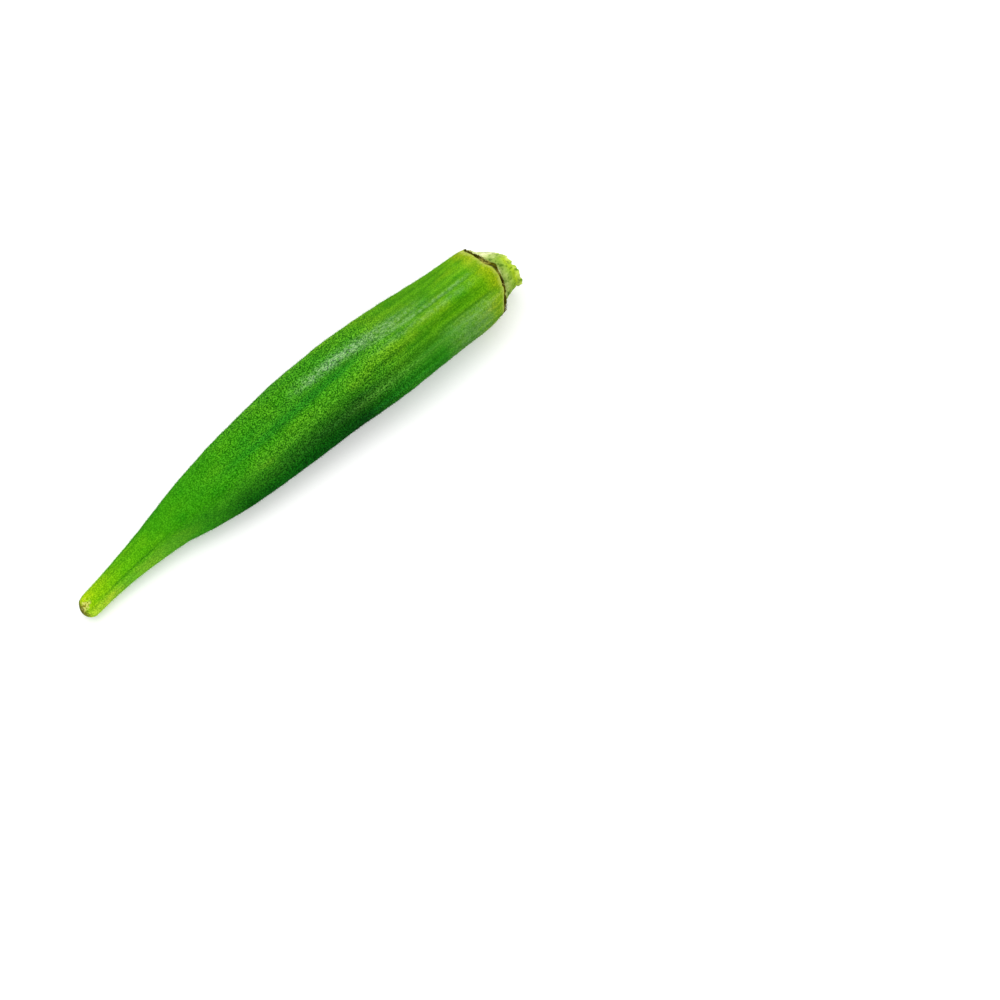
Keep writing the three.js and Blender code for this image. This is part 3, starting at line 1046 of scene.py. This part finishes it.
def fibre_finish():
    fibre = Finish("dry tan fibres", Roughness=0.8, Specular_IOR_Level=0.1)
    colour = fibre.ramp(fibre.noise(fibre.place(), 900.0, 2.0, 0.6), [
        (0.38, (0.030, 0.024, 0.001)),
        (0.50, (0.16, 0.135, 0.010)),
        (0.64, (0.46, 0.43, 0.11)),
    ])
    fibre.bumps((fibre.noise(fibre.place(), 4000.0), 0.02))
    return fibre.painted(colour)


def scar_finish():
    scar = Finish("dry brown scar", Roughness=0.9, Specular_IOR_Level=0.02)
    tone = scar.noise(scar.place(), 600.0, 3.0, 0.6)
    colour = scar.ramp(tone, [
        (0.40, (0.022, 0.019, 0.0005)),
        (0.54, (0.060, 0.058, 0.0005)),
        (0.63, (0.14, 0.14, 0.003)),
        (0.74, (0.28, 0.29, 0.03)),
    ])
    tan = scar.value("tan")
    pale = scar.times(scar.spread(tan, 0.0, 1.0), scar.spread(tone, 0.36, 0.62, 0.3, 1.0))
    colour = scar.mixed(pale, colour, (0.42, 0.40, 0.07))
    colour = scar.mixed(scar.falling(tan, -0.8, 0.0, 0.7), colour, (0.030, 0.030, 0.0005))
    scar.bumps((scar.noise(scar.place(), 2200.0, 3.0), 0.12))
    return scar.painted(colour)


# ---------------------------------------------------------------- cap
CAP_STEPS_PER_FACET = 40
CAP_FLANK_STEPS = 90
CAP_CLOSING_STEPS = 22


def make_cap():
    """The cap of stem tissue, lumpy and dented, and the torn cut across the stem."""
    way = Round(CAP_STEPS_PER_FACET)
    share = np.linspace(0, 1, CAP_FLANK_STEPS + 1)
    smooth = cap_surface(share, way)
    lumps = 0.12 * ripples(smooth, 1.6, seed=31) + 0.05 * ripples(smooth, 0.6, seed=32)
    circle = unit_circle(way)
    torn = 0.30 * ripples(circle, 0.35, seed=33) + 0.18 * ripples(circle, 0.12, seed=34)
    flare = 0.12 * smoothstep(share, 0.93, 1)[:, None]
    grown_in = smoothstep(share, 0, 0.06)[:, None]
    flank = cap_surface(share, way, lumps * grown_in + flare, torn)
    base, rim = flank[0], flank[-1]

    def closed(ring, rise, rough, seed):
        middle = ring.mean(axis=0)
        made = []
        for step in range(1, CAP_CLOSING_STEPS):
            inner = 1 - step / CAP_CLOSING_STEPS
            new = middle + (ring - middle) * inner
            new[:, 0] = middle[0] + (ring[:, 0] - middle[0]) * inner**3 + rise * (1 - inner**6)
            new[:, 0] += rough * ripples(new, 0.5, seed=seed) * smoothstep(1 - inner, 0, 0.15)
            made.append(new)
        return np.array(made), middle + np.array([rise, 0, 0])

    under, first = closed(base, END_DOME, rough=0.0, seed=35)
    cut, last = closed(rim, -CUT_HOLLOW, rough=0.10, seed=36)
    rings = np.concatenate([under[::-1], flank, cut])
    height = np.concatenate([np.zeros(len(under)), share, np.ones(len(cut))])
    inner = 1 - np.arange(1, CAP_CLOSING_STEPS) / CAP_CLOSING_STEPS
    radius = np.concatenate([np.ones(len(under)), np.ones(len(share)), inner])
    turned = np.tile(half_turn(way.angle), (len(rings), 1))
    values = {"turned": with_ends(turned[..., None], [0], [0])[:, 0]}
    for key, value, ends in (("height", height, (0, 1)), ("cut_radius", radius, (1, 0))):
        whole = np.repeat(value[:, None, None], way.count, axis=1)
        values[key] = with_ends(whole, [ends[0]], [ends[1]])[:, 0]
    points = in_frame(with_ends(rings, first, last))
    return mesh_piece("cap", points, tube_faces(len(rings), way.count), values)


def cap_finish():
    """Pale stem tissue: browner by the scar, olive patches, a yellow-green rim, and the pith and
    fibres of the cut."""
    cap = Finish("pale stem tissue", Roughness=0.6, Specular_IOR_Level=0.04)
    height = cap.value("height")
    turned = cap.value("turned")
    flank = cap.ramp(height, [
        (0.0, (0.20, 0.22, 0.02)),
        (0.10, (0.35, 0.44, 0.11)),
        (0.40, (0.33, 0.48, 0.08)),
        (0.62, (0.25, 0.44, 0.03)),
        (0.80, (0.33, 0.52, 0.010)),
        (1.0, (0.58, 0.74, 0.10)),
    ])
    pale = cap.times(cap.spread(turned, 12.0, 45.0), cap.spread(height, 0.75, 0.95, 0.9, 0.2))
    colour = cap.mixed(pale, flank, (0.66, 0.75, 0.27))
    patches = cap.noise(cap.place((0.6, 1, 1)), 455.0, 3.0, 0.65)
    colour = cap.tinted(cap.spread(patches, 0.50, 0.64), colour, (1.4, 1.25, 2.0))
    shade = cap.times(cap.falling(patches, 0.34, 0.50), cap.spread(height, 0.06, 0.30))
    colour = cap.tinted(shade, colour, (0.28, 0.44, 0.16))
    specks = cap.noise(cap.place(), 1500.0)
    colour = cap.tinted(cap.falling(specks, 0.30, 0.44, 0.8), colour, (0.35, 0.45, 0.35))

    # A second, fainter brown line beside the scar's lip, below the top corner.
    line = cap.within(cap.frayed(height, patches, 0.05), 0.05, 0.08, 0.10, 0.14)
    line = cap.times(line, cap.within(turned, -75.0, -60.0, 0.0, 8.0))
    colour = cap.mixed(cap.times(line, 0.8), colour, (0.05, 0.045, 0.008))

    # Brown fibres where skin was torn off, above the top corner.
    fibres = cap.noise(cap.place((0.3, 1, 1)), 2600.0)
    torn_off = cap.times(cap.within(turned, 2.0, 8.0, 20.0, 34.0), cap.falling(height, 0.2, 0.36))
    brown = cap.mixed(cap.spread(fibres, 0.40, 0.60), (0.10, 0.08, 0.004), (0.44, 0.42, 0.08))
    colour = cap.mixed(cap.times(torn_off, 0.85), colour, brown)

    radius = cap.value("cut_radius")
    flesh = cap.ramp(radius, [
        (0.0, (0.62, 0.66, 0.38)),
        (0.55, (0.55, 0.66, 0.28)),
        (0.72, (0.30, 0.48, 0.08)),
        (0.86, (0.50, 0.66, 0.12)),
        (1.0, (0.40, 0.62, 0.03)),
    ])
    flesh = cap.tinted(cap.falling(specks, 0.34, 0.52), flesh, (0.55, 0.66, 0.4))
    colour = cap.mixed(cap.falling(radius, 0.96, 0.999), colour, flesh)
    cap.bumps((patches, 0.15), (specks, 0.06))
    return cap.painted(colour)


# ---------------------------------------------------------------- floor and light
FLOOR_SIZE = 6.0  # metres
FLOOR_BELOW = 0.02 * MM  # how far the floor is below the pod, so that the two never coincide


def make_floor():
    half = FLOOR_SIZE / 2
    corners = [(x * half, y * half, -FLOOR_BELOW) for x, y in ((-1, -1), (1, -1), (1, 1), (-1, 1))]
    mesh = bpy.data.meshes.new("floor")
    mesh.from_pydata(corners, [], [(0, 1, 2, 3)])
    floor = bpy.data.objects.new("floor", mesh)
    bpy.context.scene.collection.objects.link(floor)
    # The floor glows evenly besides being lit, which lifts the pod's shadow on it.
    pale = Finish("pale floor", Roughness=0.9, Specular_IOR_Level=0.0, Emission_Strength=0.38)
    pale.shader.inputs["Base Color"].default_value = (0.68, 0.68, 0.68, 1)
    pale.shader.inputs["Emission Color"].default_value = (1, 1, 1, 1)
    mesh.materials.append(pale.material)
    floor.visible_glossy = False


def soft_light(name, direction, distance, width, height, watts, gleams):
    """A soft box that looks at the pod from a direction, and either lights it or gleams on it."""
    data = bpy.data.lights.new(name, "AREA")
    data.shape = "RECTANGLE"
    data.size = width
    data.size_y = height
    data.energy = watts
    light = bpy.data.objects.new(name, data)
    way = Vector(direction).normalized()
    light.location = way * distance
    light.rotation_euler = way.to_track_quat("Z", "Y").to_euler()
    light.visible_glossy = gleams
    light.visible_diffuse = not gleams
    bpy.context.scene.collection.objects.link(light)


def make_light():
    world = bpy.data.worlds.new("studio")
    world.use_nodes = True
    background = world.node_tree.nodes["Background"]
    background.inputs["Color"].default_value = (1, 1, 1, 1)
    background.inputs["Strength"].default_value = 0.75
    world.cycles_visibility.glossy = False
    bpy.context.scene.world = world
    bpy.context.scene.view_settings.view_transform = "Standard"
    soft_light("overhead", (-0.1, 0.12, 1), distance=1.2, width=1.1, height=1.1, watts=9.5,
               gleams=False)
    soft_light("gleam", (0.215, 0.793, 0.565), distance=0.9, width=0.6, height=0.2, watts=3,
               gleams=True)


# ---------------------------------------------------------------- the whole pod
make_floor()
make_light()

pod_skin = make_skin()
pod_skin.data.materials.append(skin_finish())
dress(pod_skin, ["pod"])
make_hairs(pod_skin)

scar_lip = make_scar()
scar_lip.data.materials.append(scar_finish())
dress(scar_lip)

fibres = make_fibres()
fibres.data.materials.append(fibre_finish())
dress(fibres)

cap = make_cap()
cap.data.materials.append(cap_finish())
dress(cap, ["stem_cap"])
